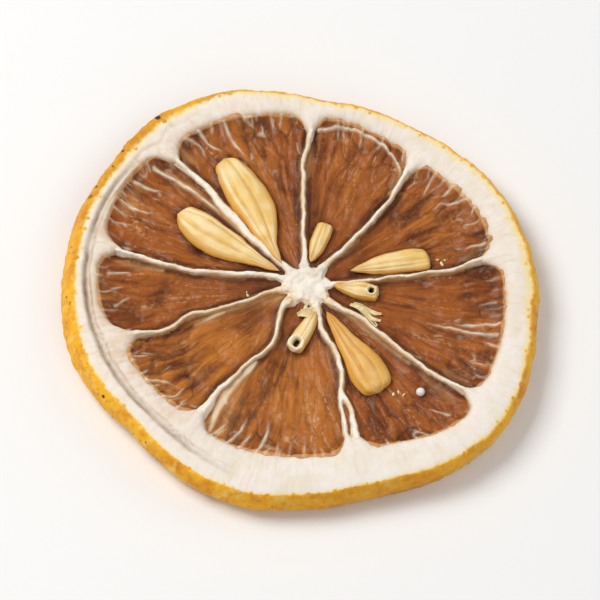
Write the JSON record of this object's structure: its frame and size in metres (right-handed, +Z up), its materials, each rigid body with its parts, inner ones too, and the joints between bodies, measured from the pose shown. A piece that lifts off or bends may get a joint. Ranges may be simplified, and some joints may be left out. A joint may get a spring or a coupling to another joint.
{
  "type": "dried lemon slice",
  "caption": "Dried lemon slice: thick pale rind with a yellow peel, amber pulp sunk between white membranes that run out from the core, and golden seeds lying in the pulp.",
  "frame": {"origin": "under the middle of the slice's box, on the surface it rests on", "axes": "+Z up out of the cut face, +X along the widest measure, +Y away from the thick side of the rind"},
  "size_m": [0.0464, 0.0452, 0.0041],
  "materials": {
    "pith": "dry, slightly waxy, cream white with a yellow peel outside",
    "pulp": "dried juice, amber brown, glossy and wrinkled",
    "membrane": "thin dry skin, cream to tan",
    "seed": "satin golden husk with lengthwise streaks",
    "sugar": "dry white crystals"
  },
  "bodies": {
    "root": {"slice": "pith", "seed_1": "seed", "seed_2": "seed", "seed_3": "seed", "seed_4": "seed", "seed_5": "seed", "seed_6": "seed", "seed_7": "seed"}
  },
  "joints": []
}
